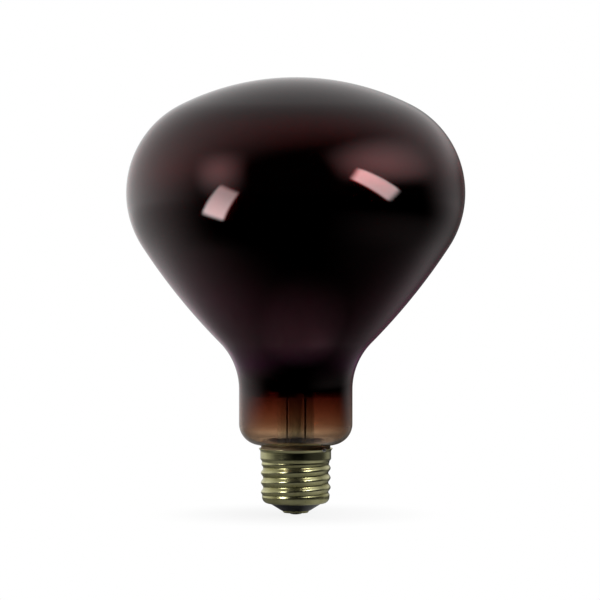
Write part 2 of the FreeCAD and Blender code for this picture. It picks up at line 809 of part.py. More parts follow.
# Heat shield

SHIELD_HOLE = "arbor_radius + grip_wall"


def heat_shield():
    """Thin metal disc across the neck, gripped on the arbor and clear of both leads."""
    body = turned_body(
        "heat_shield",
        [
            (SHIELD_HOLE, SHIELD_BOTTOM),
            ("shield_radius", SHIELD_BOTTOM),
            ("shield_radius", SHIELD_TOP),
            (SHIELD_HOLE, SHIELD_TOP),
        ],
    )
    holes = new_sketch(body, "lead_holes", "XY_Plane", SHIELD_TOP)
    for number, side in enumerate((1, -1)):
        centre = Vector(0, side * size("lead_offset"), 0)
        holes.addGeometry(Part.Circle(centre, Vector(0, 0, 1), size("shield_lead_hole")), False)
        holes.addConstraint(Sketcher.Constraint("PointOnObject", number, 3, -2))
        dimension(holes, "Radius", (number,), "shield_lead_hole")
    dimension(holes, "DistanceY", (*ORIGIN, 0, 3), "lead_offset")
    dimension(holes, "DistanceY", (1, 3, *ORIGIN), "lead_offset")
    pocket = body.newObject("PartDesign::Pocket", "lead_hole_cuts")
    pocket.Profile = holes
    bind(pocket, "Length", "shield_thickness * 2")
    document.recompute()
    return turn_with_mount(body)


def shield_grip():
    """Flanged eyelet crimped on the arbor, with one flange on each face of the shield."""
    return turned_body(
        "shield_grip",
        [
            ("arbor_radius", f"{SHIELD_BOTTOM} - grip_skirt"),
            (SHIELD_HOLE, f"{SHIELD_BOTTOM} - grip_skirt"),
            (SHIELD_HOLE, f"{SHIELD_BOTTOM} - grip_lip"),
            (f"{SHIELD_HOLE} + grip_flange", f"{SHIELD_BOTTOM} - grip_lip"),
            (f"{SHIELD_HOLE} + grip_flange", SHIELD_BOTTOM),
            (SHIELD_HOLE, SHIELD_BOTTOM),
            (SHIELD_HOLE, SHIELD_TOP),
            (f"{SHIELD_HOLE} + grip_flange", SHIELD_TOP),
            (f"{SHIELD_HOLE} + grip_flange", f"{SHIELD_TOP} + grip_lip"),
            ("arbor_radius", f"{SHIELD_TOP} + grip_lip"),
        ],
    )


def build():
    """All pieces of the lamp, in the order they come apart on a bench."""
    shell = screw_shell()
    leads = [side_lead(), centre_lead()]
    supports = [support_wire(n, angle) for n, angle in enumerate(support_angles(), start=1)]
    cement = basing_cement(leads[0])
    return [
        glass_envelope(),
        shell,
        base_insulator(),
        centre_contact(),
        contact_solder(leads[1]),
        cement,
        side_solder(shell, leads[0], cement),
        cut_object("stem", stem(), *leads),
        exhaust_tube(),
        cut_object("arbor_rod", arbor_rod(), *supports),
        *leads,
        filament(),
        *supports,
        heat_shield(),
        shield_grip(),
    ]


def export(pieces):
    """Stops on anything that failed, then writes each piece to its own file."""
    document.recompute()
    for item in document.Objects:
        if {"Invalid", "Error"} & set(item.State):
            raise RuntimeError(f"{item.Label} failed: {item.State}")
    for piece in pieces:
        if piece.Shape.isNull() or not piece.Shape.isValid() or not piece.Shape.Solids:
            raise RuntimeError(f"{piece.Label} has no valid solid")
    os.makedirs("parts", exist_ok=True)
    for piece in pieces:
        piece.Shape.exportStep(f"parts/{piece.Label}.step")
        solids = len(piece.Shape.Solids)
        print(f"{piece.Label}: {solids} solid, {piece.Shape.Volume:.2f} mm3")


export(build())
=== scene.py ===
"""Looks of an infrared heat lamp bulb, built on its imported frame.

Blown ruby glass with a mirror coat inside, a rolled brass screw base, and the glass and wire mount within.
"""

import math

import bpy
import numpy as np
from bpy.props import FloatProperty, FloatVectorProperty, IntProperty, PointerProperty
from mathutils import Euler, Matrix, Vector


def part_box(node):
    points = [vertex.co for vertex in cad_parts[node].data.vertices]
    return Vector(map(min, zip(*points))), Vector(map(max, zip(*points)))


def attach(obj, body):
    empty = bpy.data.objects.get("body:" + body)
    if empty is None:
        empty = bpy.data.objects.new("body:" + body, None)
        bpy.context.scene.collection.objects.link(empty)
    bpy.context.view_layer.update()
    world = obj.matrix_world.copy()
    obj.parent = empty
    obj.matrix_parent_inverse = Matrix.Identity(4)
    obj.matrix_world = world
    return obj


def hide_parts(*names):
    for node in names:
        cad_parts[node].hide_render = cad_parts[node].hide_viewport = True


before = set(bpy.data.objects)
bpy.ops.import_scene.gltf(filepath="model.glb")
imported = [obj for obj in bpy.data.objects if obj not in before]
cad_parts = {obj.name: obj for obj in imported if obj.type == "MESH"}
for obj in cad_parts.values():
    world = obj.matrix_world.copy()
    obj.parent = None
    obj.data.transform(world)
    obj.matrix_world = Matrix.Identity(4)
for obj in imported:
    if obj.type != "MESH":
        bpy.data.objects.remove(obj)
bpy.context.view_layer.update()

bl_info = {
    "name": "Heat Lamp Bulb",
    "version": (1, 0, 0),
    "blender": (4, 5, 0),
    "location": "View3D > Sidebar > Heat Lamp",
    "description": "Dresses the frame of an infrared reflector bulb with glass, brass, solder and wire",
    "category": "Object",
}

WHITE = (1, 1, 1, 1)
BLACK = (0, 0, 0)

# Heights on the bulb, in metres, with the glass's colour there, and the height that the ramp covers.
GLASS_BANDS = (
    (0.0295, "foot_colour"),
    (0.0335, "amber_colour"),
    (0.0385, "neck_colour"),
    (0.047, "throat_colour"),
    (0.051, "throat_colour"),
    (0.057, "purple_colour"),
    (0.066, "flank_colour"),
    (0.082, "flank_colour"),
    (0.105, "girth_colour"),
    (0.120, "girth_colour"),
    (0.129, "shoulder_colour"),
    (0.139, "shoulder_colour"),
    (0.155, "face_colour"),
)
RAMP_SPAN = 0.17

# Radius, in metres, below which the end of a profile counts as on the axis.
ON_AXIS = 1e-9

# Turns over which the thread fades out at each end, and wear of the plain brass, where a crest has 1.
THREAD_FADE = 0.5
PLAIN_WEAR = 0.75

# Solder cap on the tip: rings, steps round, waves of its rim as (share of radius, count, phase), and the
# share of the radius by which it is drawn in.
TIP_RINGS = 24
TIP_STEPS = 64
TIP_WAVES = ((0.05, 3, 0.6), (0.03, 5, 2.0))
TIP_SHRINK = 0.06

# Solder blob on the rim: rings, steps round, share of its full radius, how far it is drawn out along the
# rim, and the shares of the radius by which it is oval and has three lobes.
BLOB_RINGS = 26
BLOB_STEPS = 40
BLOB_SHARE = 0.92
BLOB_SPREAD = 1.25
BLOB_OVAL = 0.07
BLOB_LOBES = 0.05

# Coiled filament: steps in one turn of the coil and sides of its wire.
COIL_STEPS = 14
WIRE_SIDES = 8

# Slope by which the light from behind is turned to the left, and the camera's sensor in millimetres.
LIGHT_TURN = 0.35
SENSOR_WIDTH = 36

# Panels of light. Spot and way are those of the mirrored ray that brings each to its place on the glass.
PANELS = (
    {
        "name": "left_softbox", "spot": (-0.0276, -0.0571, 0.1177), "way": (-0.787, -0.597, -0.156),
        "reach": 0.13, "size": (0.103, 0.054), "roll": 60, "radiance": 11, "soft": 0.35, "tail": 0.4,
    },
    {
        "name": "left_glow", "spot": (-0.0276, -0.0563, 0.1283), "way": (-0.769, -0.534, 0.351),
        "reach": 0.40, "size": (0.34, 0.44), "roll": 15, "radiance": 1.15, "soft": 1.0, "tail": 0.7,
    },
    {
        "name": "right_softbox", "spot": (0.0291, -0.0562, 0.1246), "way": (0.818, -0.546, 0.178),
        "reach": 0.08, "size": (0.080, 0.030), "roll": -40, "radiance": 9, "soft": 0.35, "tail": 0.8,
        "climb": (-0.16, -0.09), "ceiling": (0.136, 0.148),
    },
    {
        "name": "right_glow", "spot": (0.0330, -0.0520, 0.1325), "way": (0.813, -0.270, 0.510),
        "reach": 0.20, "size": (0.44, 0.25), "roll": -12, "radiance": 1.3, "soft": 1.0, "tail": 0.7,
        "climb": (0.05, 0.3),
    },
)


# Settings


def length(label, millimetres, about):
    """A length property whose default is given in millimetres."""
    return FloatProperty(
        name=label, description=about, default=millimetres / 1000, min=0, unit="LENGTH", precision=5
    )


def angle(label, degrees, about):
    """An angle property whose default is given in degrees."""
    return FloatProperty(name=label, description=about, default=math.radians(degrees), subtype="ANGLE")


def colour(label, rgb, about):
    """A colour property."""
    return FloatVectorProperty(
        name=label, description=about, default=rgb, size=3, subtype="COLOR", min=0, max=1
    )


def count(label, number, about):
    """A whole-number property."""
    return IntProperty(name=label, description=about, default=number, min=3)


class LampGlass(bpy.types.PropertyGroup):
    """Sizes and colours of the blown envelope and its mirror coat."""

    bulb_radius: length("Bulb radius", 63.5, "Widest radius of the bulb")
    reflector_depth: length("Reflector depth", 73.7, "Height of the widest place above the top of the neck")
    face_curve: length("Face curve", 96, "Radius of the domed face")
    shoulder_curve: length("Shoulder curve", 37, "Radius of the rounded shoulder")
    flank_curve: length("Flank curve", 230, "Radius of the reflector flank")
    throat_curve: length("Throat curve", 25, "Radius of the hollow between flank and neck")
    neck_radius: length("Neck radius", 21.3, "Radius of the straight neck")
    neck_top: length("Neck top", 47, "Height where the neck starts to open")
    neck_bottom: length("Neck bottom", 34.2, "Height where the neck rounds in to its foot")
    foot_curve: length("Foot curve", 8, "Radius of the rounded foot")
    spigot_radius: length("Spigot radius", 10.6, "Radius of the end that is sealed to the stem")
    spigot_curve: length("Spigot curve", 1.5, "Radius of the hollow between foot and spigot")
    seal_height: length("Seal height", 19.5, "Height of the seal to the stem")
    wall: length("Glass wall", 1.0, "Thickness of the glass")
    coat_gap: length("Coat gap", 0.03, "Room between the glass and the mirror coat")
    coat_wall: length("Coat thickness", 0.03, "Thickness of the mirror coat")
    coat_bottom: length("Coat bottom", 43, "Height where the mirror coat starts in the neck")
    coat_edge: length("Coat edge", 6, "Height over which the mirror coat thins out at its bottom")
    coat_top: length("Coat top", 150, "Height where the mirror coat has faded out on the shoulder")
    coat_fade: length("Coat fade", 20, "Height over which the mirror coat thins out at its top")
    segments: count("Segments", 192, "Steps round the bulb")
    face_colour: colour("Face colour", (0.10, 0.006, 0.009), "Ruby of the thick glass of the face")
    shoulder_colour: colour("Shoulder colour", (0.24, 0.014, 0.018), "Ruby over the shoulder")
    girth_colour: colour("Girth colour", (0.14, 0.010, 0.013), "Ruby round the widest part")
    flank_colour: colour("Flank colour", (0.305, 0.02, 0.12), "Ruby over the reflector flank")
    purple_colour: colour("Purple colour", (0.31, 0.035, 0.215), "Purple cast of the flank near the throat")
    throat_colour: colour("Throat colour", (0.12, 0.010, 0.010), "Thick ruby between flank and neck")
    neck_colour: colour("Neck colour", (0.38, 0.17, 0.105), "Thinner, amber ruby of the neck")
    amber_colour: colour("Amber colour", (0.51, 0.31, 0.205), "Paler amber where the neck ends")
    foot_colour: colour("Foot colour", (0.92, 0.72, 0.54), "Pale, thin glass of the rounded foot")
    coat_colour: colour("Coat colour", (0.90, 0.87, 0.86), "Bright metal of the mirror coat")


class LampBase(bpy.types.PropertyGroup):
    """Sizes and colours of the screw base."""

    shell_wall: length("Shell wall", 0.3, "Thickness of the brass sheet")
    thread_major: length("Thread major radius", 13.1, "Radius over the thread's crests")
    thread_minor: length("Thread minor radius", 12.25, "Radius in the thread's roots")
    thread_pitch: length("Thread pitch", 3.629, "Rise of the thread in one turn")
    thread_bottom: length("Thread bottom", 6.6, "Height where the thread starts")
    thread_top: length("Thread top", 20.0, "Height where the thread ends")
    collar_radius: length("Collar radius", 13.3, "Radius of the plain collar")
    collar_bottom: length("Collar bottom", 21.0, "Height where the collar starts")
    collar_top: length("Collar top", 24.0, "Height where the collar flares")
    rim_radius: length("Rim radius", 13.9, "Radius of the flared rim")
    rim_top: length("Rim top", 24.9, "Height of the flared rim")
    lip_curve: length("Lip curve", 2.4, "Radius of the lip that turns in under the insulator")
    lip_overlap: length("Lip overlap", 0.5, "Flat that the lip holds on the insulator")
    solder_radius: length("Solder radius", 2.6, "Radius of the solder cap on the tip")
    side_solder_radius: length("Side solder radius", 0.9, "Radius of the blob on the rim")
    segments: count("Segments", 160, "Steps round the base")
    brass_colour: colour("Brass colour", (0.75, 0.73, 0.41), "Pale greenish brass of the shell")
    tarnish_colour: colour("Tarnish colour", (0.37, 0.34, 0.12), "Brass where it has dulled")
    cement_colour: colour("Cement colour", (0.52, 0.37, 0.22), "Tan of the baked cement")


class LampMount(bpy.types.PropertyGroup):
    """Sizes of the coiled filament and of what holds it."""

    filament_height: length("Filament height", 90, "Height of the filament's ring")
    filament_ring: length("Filament ring", 12, "Radius of the filament's ring")
    coil_radius: length("Coil radius", 0.68, "Radius of the coil, to the middle of its wire")
    coil_wire: length("Coil wire", 0.12, "Radius of the tungsten wire")
    coil_turns: count("Coil turns", 72, "Turns of the coil along the ring")
    ring_arc: angle("Ring arc", 270, "Part of the circle that the ring covers")
    turn: angle("Mount turn", -131, "Turn of the mount about the bulb's axis")


class LampStage(bpy.types.PropertyGroup):
    """Camera and floor."""

    camera_distance: length("Camera distance", 1600, "Distance of the camera from the bulb")
    view_width: length("View width", 224.9, "Width that the picture takes in at the bulb")
    aim_across: length("Aim across", 1.6, "Sideways place of the picture's centre")
    aim_height: length("Aim height", 80.55, "Height of the picture's centre")
    camera_elevation: angle("Camera elevation", 2, "How far the camera looks down")
    floor_size: length("Floor size", 12000, "Side of the floor")
    # Colour of the painted pools of light that mirrored rays see on the floor round the base and behind it.
    painted_pool_colour: colour("Floor colour", (0.7, 0.7, 0.71), "Lit floor round the base and behind it")


# Shader maths


class Wire:
    """A node's output that takes part in arithmetic: each operation adds a Math node."""

    def __init__(self, finish, socket):
        self.finish = finish
        self.socket = socket

    def math(self, operation, first, second=0.0):
        return self.finish.node("ShaderNodeMath", {"operation": operation}, {0: first, 1: second})

    def __add__(self, other):
        return self.math("ADD", self, other)

    def __sub__(self, other):
        return self.math("SUBTRACT", self, other)

    def __rsub__(self, other):
        return self.math("SUBTRACT", other, self)

    def __mul__(self, other):
        return self.math("MULTIPLY", self, other)

    def __truediv__(self, other):
        return self.math("DIVIDE", self, other)

    def __rtruediv__(self, other):
        return self.math("DIVIDE", other, self)

    def __abs__(self):
        return self.math("ABSOLUTE", self)

    __radd__ = __add__
    __rmul__ = __mul__

    def most(self, other):
        """The larger of the two."""
        return self.math("MAXIMUM", self, other)

    def between(self, low, high):
        """Smooth rise from 0 at low to 1 at high."""
        settings = {"interpolation_type": "SMOOTHSTEP"}
        return self.finish.node("ShaderNodeMapRange", settings, {0: self, 1: low, 2: high, 3: 0.0, 4: 1.0})


class Finish:
    """A node tree written as expressions."""

    def __init__(self, tree):
        self.tree = tree
        tree.nodes.clear()

    def node(self, kind, settings=None, sockets=None, output=0):
        """Adds a node: its settings first, then the values or links of its sockets. Gives one output."""
        node = self.tree.nodes.new(kind)
        for key, value in (settings or {}).items():
            if key == "stops":
                self.set_stops(node.color_ramp, value)
            else:
                setattr(node, key, value)
        for key, value in (sockets or {}).items():
            if isinstance(value, Wire):
                self.tree.links.new(value.socket, node.inputs[key])
            else:
                node.inputs[key].default_value = value
        return Wire(self, node.outputs[output]) if len(node.outputs) else None

    @staticmethod
    def set_stops(ramp, stops):
        """Puts the stops, in rising order, on a colour ramp."""
        first, *middle, last = stops
        for element, (place, rgb) in ((ramp.elements[0], first), (ramp.elements[-1], last)):
            element.position = place
            element.color = (*rgb, 1)
        for place, rgb in middle:
            ramp.elements.new(place).color = (*rgb, 1)

    def place(self):
        """Object coordinates, in metres in the bulb's frame."""
        return self.node("ShaderNodeTexCoord", output="Object")

    def axis(self, vector, letter):
        return self.node("ShaderNodeSeparateXYZ", sockets={0: vector}, output=letter)

    def ray(self, fact):
        """What is known of the ray that met the surface."""
        return self.node("ShaderNodeLightPath", output=fact)

    def noise(self, vector, scale, detail=3.0, roughness=0.5):
        """Soft noise between 0 and 1."""
        sockets = {"Vector": vector, "Scale": scale, "Detail": detail, "Roughness": roughness}
        return self.node("ShaderNodeTexNoise", None, sockets)

    def mix(self, factor, first, second):
        """Colour between two colours."""
        pair = [value if isinstance(value, Wire) else (*value, 1) for value in (first, second)]
        return self.node("ShaderNodeMix", {"data_type": "RGBA"}, {0: factor, 6: pair[0], 7: pair[1]}, 2)

    def stretched(self, vector, scale):
        """Coordinates scaled apart along each axis."""
        return self.node("ShaderNodeMapping", None, {"Vector": vector, "Scale": scale})

    def bump(self, height, strength, distance):
        sockets = {"Height": height, "Strength": strength, "Distance": distance}
        return self.node("ShaderNodeBump", None, sockets)

    def glow(self, strength):
        """White light."""
        return self.node("ShaderNodeEmission", None, {"Color": WHITE, "Strength": strength})

    def both(self, first, second):
        """Two surfaces added up."""
        return self.node("ShaderNodeAddShader", None, {0: first, 1: second})

    def show(self, surface):
        self.node("ShaderNodeOutputMaterial", None, {"Surface": surface})

    def paint(self, **sockets):
        """Shows a Principled surface, with underscores for the spaces in its socket names."""
        named = {key.replace("_", " "): value for key, value in sockets.items()}
        for key, value in named.items():
            if key.endswith("Color") and not isinstance(value, Wire):
                named[key] = (*value, 1)
        self.show(self.node("ShaderNodeBsdfPrincipled", None, named))


def new_finish(name):
    """A material and the tree that its finish is written in."""
    material = bpy.data.materials.new(name)
    material.use_nodes = True
    return material, Finish(material.node_tree)


# Finishes


def ruby_glass():
    """Gloss ruby glass: deep in dome and flank, thinner and amber in the neck, with faint mould waves."""
    glass = bpy.context.scene.lamp_glass
    material, f = new_finish("ruby_glass")
    place = f.place()
    cloud = f.noise(place, scale=28, detail=2)
    height = f.axis(place, "Z") + (cloud - 0.5) * 0.003
    ramp = {"stops": [(level / RAMP_SPAN, tuple(getattr(glass, key))) for level, key in GLASS_BANDS]}
    shade = f.node("ShaderNodeValToRGB", ramp, {"Fac": height / RAMP_SPAN})
    slant = f.node("ShaderNodeLayerWeight", None, {"Blend": 0.5}, "Facing")
    tint = f.mix(slant.between(0.15, 0.75) * 0.6, shade, BLACK)
    smear = f.noise(f.stretched(place, (1, 1, 0.35)), scale=75, detail=4, roughness=0.6)
    waves = f.noise(place, scale=22, detail=1)
    f.paint(
        Base_Color=tint, Roughness=0.012 + smear.between(0.52, 0.8) * 0.05, IOR=1.5,
        Transmission_Weight=1.0, Normal=f.bump(waves, strength=0.05, distance=0.002),
    )
    return material


def mirror_coat():
    """Vapour-deposited metal that thins out in a soft uneven edge at the neck and under the shoulder."""
    glass = bpy.context.scene.lamp_glass
    material, f = new_finish("mirror_coat")
    place = f.place()
    height = f.axis(place, "Z") + (f.noise(place, scale=60) - 0.5) * 0.004
    low_edge = height.between(glass.coat_bottom, glass.coat_bottom + glass.coat_edge)
    high_edge = 1 - height.between(glass.coat_top - glass.coat_fade, glass.coat_top)
    haze = f.noise(place, scale=40, detail=4)
    f.paint(
        Base_Color=tuple(glass.coat_colour), Metallic=1.0, Roughness=0.06 + haze * 0.12,
        Alpha=low_edge * high_edge,
    )
    return material


def rolled_brass():
    """Pale brass with drawing lines round the shell, dull roots, rubbed crests and small dark marks."""
    base = bpy.context.scene.lamp_base
    material, f = new_finish("rolled_brass")
    place = f.place()
    crest = f.node("ShaderNodeAttribute", {"attribute_name": "crest"}, output="Fac")
    lines = f.noise(f.stretched(place, (40, 40, 1800)), scale=1, roughness=0.6)
    cloud = f.noise(place, scale=160, detail=4, roughness=0.6)
    marks = f.noise(place, scale=900, detail=2).between(0.66, 0.74)
    dull = (1 - crest) * 0.55 + cloud.between(0.42, 0.72) * 0.4 + marks * 0.35
    tint = f.mix(dull, tuple(base.brass_colour), tuple(base.tarnish_colour))
    f.paint(
        Base_Color=tint, Metallic=1.0, Roughness=0.14 + dull * 0.14 + lines * 0.08,
        Normal=f.bump(lines, strength=0.12, distance=0.00006),
    )
    return material


def plate_brass():
    """Stamped brass of the contact plate and the shield's eyelet."""
    base = bpy.context.scene.lamp_base
    material, f = new_finish("plate_brass")
    place = f.place()
    cloud = f.noise(place, scale=420, detail=4, roughness=0.6)
    scratch = f.noise(f.stretched(place, (300, 3000, 300)), scale=1, detail=2)
    tint = f.mix(cloud.between(0.35, 0.75), tuple(base.brass_colour), tuple(base.tarnish_colour))
    f.paint(
        Base_Color=tint, Metallic=1.0, Roughness=0.24 + cloud * 0.2,
        Normal=f.bump(scratch, strength=0.15, distance=0.00004),
    )
    return material


def soft_solder():
    """Tin solder: dull bright metal with a frosted, slightly dimpled skin."""
    material, f = new_finish("soft_solder")
    place = f.place()
    frost = f.noise(place, scale=1500, detail=4, roughness=0.6)
    cloud = f.noise(place, scale=500, detail=2)
    tint = f.mix(cloud.between(0.3, 0.7), (0.66, 0.67, 0.68), (0.44, 0.45, 0.46))
    f.paint(
        Base_Color=tint, Metallic=1.0, Roughness=0.26 + frost * 0.22,
        Normal=f.bump(frost + cloud, strength=0.3, distance=0.00008),
    )
    return material


def black_glass():
    """Pressed black glass with faint flow marks."""
    material, f = new_finish("black_glass")
    place = f.place()
    flow = f.noise(f.stretched(place, (1, 1, 3)), scale=260)
    tint = f.mix(flow.between(0.4, 0.7), (0.010, 0.010, 0.013), (0.028, 0.024, 0.030))
    f.paint(
        Base_Color=tint, Roughness=0.08 + flow * 0.14, IOR=1.55,
        Normal=f.bump(flow, strength=0.2, distance=0.0002),
    )
    return material


def baked_cement():
    """Matt tan cement with grains, pores and a scorched cast."""
    base = bpy.context.scene.lamp_base
    material, f = new_finish("baked_cement")
    place = f.place()
    grain = f.noise(place, scale=2200, detail=4, roughness=0.7)
    patch = f.noise(place, scale=240)
    pale = tuple(base.cement_colour)
    dark = tuple(0.55 * part for part in pale)
    tint = f.mix(grain * 0.5 + patch.between(0.35, 0.7) * 0.5, pale, dark)
    f.paint(
        Base_Color=tint, Roughness=0.8 + grain * 0.15,
        Normal=f.bump(grain, strength=0.6, distance=0.0002),
    )
    return material


def clear_glass():
    """Clear soft glass of the stem, tube and rod, with draw lines along it."""
    material, f = new_finish("clear_glass")
    place = f.place()
    draw = f.noise(f.stretched(place, (900, 900, 20)), scale=1, detail=2)
    tint = f.mix(draw, (0.90, 0.93, 0.91), (0.80, 0.86, 0.83))
    f.paint(
        Base_Color=tint, Roughness=0.02 + draw * 0.03, IOR=1.52, Transmission_Weight=1.0,
        Normal=f.bump(draw, strength=0.08, distance=0.0001),
    )
    return material


def drawn_wire(name, bright, dark):
    """Drawn wire with fine die lines along it and an uneven oxide."""
    material, f = new_finish(name)
    place = f.place()
    oxide = f.noise(place, scale=700)
    lines = f.noise(f.stretched(place, (4000, 4000, 60)), scale=1, detail=2)
    tint = f.mix(oxide.between(0.35, 0.7), bright, dark)
    f.paint(
        Base_Color=tint, Metallic=1.0, Roughness=0.25 + oxide * 0.2,
        Normal=f.bump(lines, strength=0.1, distance=0.00003),
    )
    return material


def rolled_aluminium():
    """Bright rolled sheet with a fine grain in one direction."""
    material, f = new_finish("rolled_aluminium")
    place = f.place()
    grain = f.noise(f.stretched(place, (60, 3200, 60)), scale=1)
    cloud = f.noise(place, scale=90, detail=2)
    tint = f.mix(cloud, (0.80, 0.81, 0.82), (0.66, 0.67, 0.69))
    f.paint(
        Base_Color=tint, Metallic=1.0, Roughness=0.22 + grain * 0.16,
        Normal=f.bump(grain, strength=0.12, distance=0.00005),
    )
    return material


# Surfaces


def skin(grid, wrap=False, first_pole=None, last_pole=None):
    """Vertices and faces of a grid of points (row, step), closed along each row.

    With wrap the last row joins the first. A pole closes the first or the last row to one point. Faces
    point to the right of the way from row to row, as seen with the steps running counter-clockwise.
    """
    rows, steps = grid.shape[:2]
    near = np.arange(rows * steps).reshape(rows, steps)
    far = np.roll(near, -1, axis=1)
    if wrap:
        quads = np.stack([near, far, np.roll(far, -1, axis=0), np.roll(near, -1, axis=0)], -1)
    else:
        quads = np.stack([near[:-1], far[:-1], far[1:], near[1:]], -1)
    points = grid.reshape(-1, 3)
    faces = quads.reshape(-1, 4).tolist()
    if first_pole is not None:
        points = np.vstack([points, first_pole])
        hub = np.full(steps, len(points) - 1)
        faces += np.stack([hub, far[0], near[0]], -1).tolist()
    if last_pole is not None:
        points = np.vstack([points, last_pole])
        hub = np.full(steps, len(points) - 1)
        faces += np.stack([near[-1], far[-1], hub], -1).tolist()
    return points, faces


def round_angles(steps):
    """Even angles once round, from 0."""
    return 2 * np.pi * np.arange(steps) / steps


def lathe(profile, steps, wrap=False, ripple=0.0):
    """Surface of revolution of a profile of radii r and heights z.

    Point (i, j) has the angle 2 pi j / steps, the radius r[i] + ripple[i, j] and the height z[i]. The
    profile runs with the solid on its left. An end on the axis becomes a pole.
    """
    around = round_angles(steps)
    radius = profile[:, :1] + np.zeros((1, steps)) + ripple
    height = np.repeat(profile[:, 1:], steps, axis=1)
    grid = np.stack([radius * np.cos(around), radius * np.sin(around), height], -1)
    ends = [None, None]
    if not wrap:
        on_axis = profile[:, 0] < ON_AXIS
        if on_axis[0]:
            ends[0] = (0, 0, profile[0, 1])
            grid = grid[1:]
        if on_axis[-1]:
            ends[1] = (0, 0, profile[-1, 1])
            grid = grid[:-1]
    return skin(grid, wrap, *ends)


def tube(path, aside, radius, sides):
    """Round wire with closed ends: circles in the plane of cross(tangent, aside) and its normal."""
    tangent = np.gradient(path, axis=0)
    tangent /= np.linalg.norm(tangent, axis=1, keepdims=True)
    across = np.cross(tangent, aside)
    across /= np.linalg.norm(across, axis=1, keepdims=True)
    up = np.cross(tangent, across)
    around = round_angles(sides)[None, :, None]
    ring = np.cos(around) * across[:, None] + np.sin(around) * up[:, None]
    return skin(path[:, None] + radius * ring, first_pole=path[0], last_pole=path[-1])


def arc(centre, radius, start, end, steps):
    """Points on a circle from one angle to another, without the last."""
    turn = np.linspace(start, end, steps, endpoint=False)
    return np.stack([centre[0] + radius * np.cos(turn), centre[1] + radius * np.sin(turn)], -1)


def line(start, end, steps):
    """Even points on a straight line, without the last."""
    return np.linspace(start, end, steps, endpoint=False)


def new_object(name, points, faces, material):
    """Makes an object of points and faces with one material, and links it to the scene."""
    mesh = bpy.data.meshes.new(name)
    mesh.from_pydata(points, [], faces)
    mesh.materials.append(material)
    thing = bpy.data.objects.new(name, mesh)
    bpy.context.scene.collection.objects.link(thing)
    return thing


def new_sheet(name, half, material):
    """Makes a flat rectangle with these half sides, on the XY plane."""
    corners = [(half[0] * x, half[1] * y, 0) for x, y in ((-1, -1), (1, -1), (1, 1), (-1, 1))]
    return new_object(name, corners, [(0, 1, 2, 3)], material)


def add_piece(name, surface, material, replaced=()):
    """Makes a smooth piece of a surface's points and faces, in the frame's place, riding on the root."""
    points, faces = surface
    piece = new_object(name, points.tolist(), faces, material)
    piece.data.polygons.foreach_set("use_smooth", np.full(len(piece.data.polygons), True))
    piece.data.update()
    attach(piece, "root")
    if replaced:
        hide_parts(*replaced)
    return piece


def dress(material, *nodes):
    """Gives CAD nodes a finish."""
    for name in nodes:
        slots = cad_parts[name].data.materials
        slots.clear()
        slots.append(material)


def angle_to(point, centre):
    return math.atan2(point[1] - centre[1], point[0] - centre[0])


def glass_outline(inset):
    """One wall of the envelope from the crown down to the seal, inset from the outer one.

    Circular arcs of face, shoulder, flank, throat, foot and spigot, each tangent to the next: centres of
    arcs that bend the same way lie apart by the difference of their radii, others by the sum. All walls
    share the centres, so the inset is the same all over.
    """
    g = bpy.context.scene.lamp_glass
    throat = np.array([g.neck_radius + g.throat_curve, g.neck_top])
    shoulder = np.array([g.bulb_radius - g.shoulder_curve, g.neck_top + g.reflector_depth])
    face = shoulder - (shoulder[0], math.sqrt((g.face_curve - g.shoulder_curve) ** 2 - shoulder[0] ** 2))
    near, far = g.flank_curve - g.shoulder_curve, g.flank_curve + g.throat_curve
    way = throat - shoulder
    gap = np.linalg.norm(way)
    along = (near**2 - far**2 + gap**2) / (2 * gap)
    unit = way / gap
    flank = shoulder + unit * along + np.array([unit[1], -unit[0]]) * math.sqrt(near**2 - along**2)
    foot = np.array([g.neck_radius - g.foot_curve, g.neck_bottom])
    reach = g.spigot_radius + g.spigot_curve
    drop = math.sqrt((g.foot_curve + g.spigot_curve) ** 2 - (reach - foot[0]) ** 2)
    spigot = np.array([reach, foot[1] - drop])
    to_shoulder = angle_to(shoulder, face)
    to_flank = angle_to(shoulder, flank)
    to_throat = angle_to(throat, flank)
    to_spigot = angle_to(spigot, foot)
    neck, end = g.neck_radius - inset, g.spigot_radius - inset
    return np.vstack(
        [
            arc(face, g.face_curve - inset, math.pi / 2, to_shoulder, steps=30),
            arc(shoulder, g.shoulder_curve - inset, to_shoulder, to_flank, steps=46),
            arc(flank, g.flank_curve - inset, to_flank, to_throat, steps=34),
            arc(throat, g.throat_curve + inset, to_throat + math.pi, math.pi, steps=18),
            line((neck, g.neck_top), (neck, g.neck_bottom), steps=6),
            arc(foot, g.foot_curve - inset, 0, to_spigot, steps=20),
            arc(spigot, g.spigot_curve + inset, to_spigot + math.pi, math.pi, steps=6),
            line((end, spigot[1]), (end, g.seal_height), steps=4),
            [(end, g.seal_height)],
        ]
    )


# Pieces


class LAMP_OT_envelope(bpy.types.Operator):
    """Blown envelope of ruby glass, one wall thick"""

    bl_idname = "lamp.envelope"
    bl_label = "Glass Envelope"

    def execute(self, context):
        g = context.scene.lamp_glass
        outer, inner = glass_outline(0), glass_outline(g.wall)
        outer[0, 0] = inner[0, 0] = 0
        profile = np.vstack([inner, outer[::-1]])
        surface = lathe(profile, g.segments)
        add_piece("envelope", surface, ruby_glass(), ["glass_envelope"])
        return {"FINISHED"}


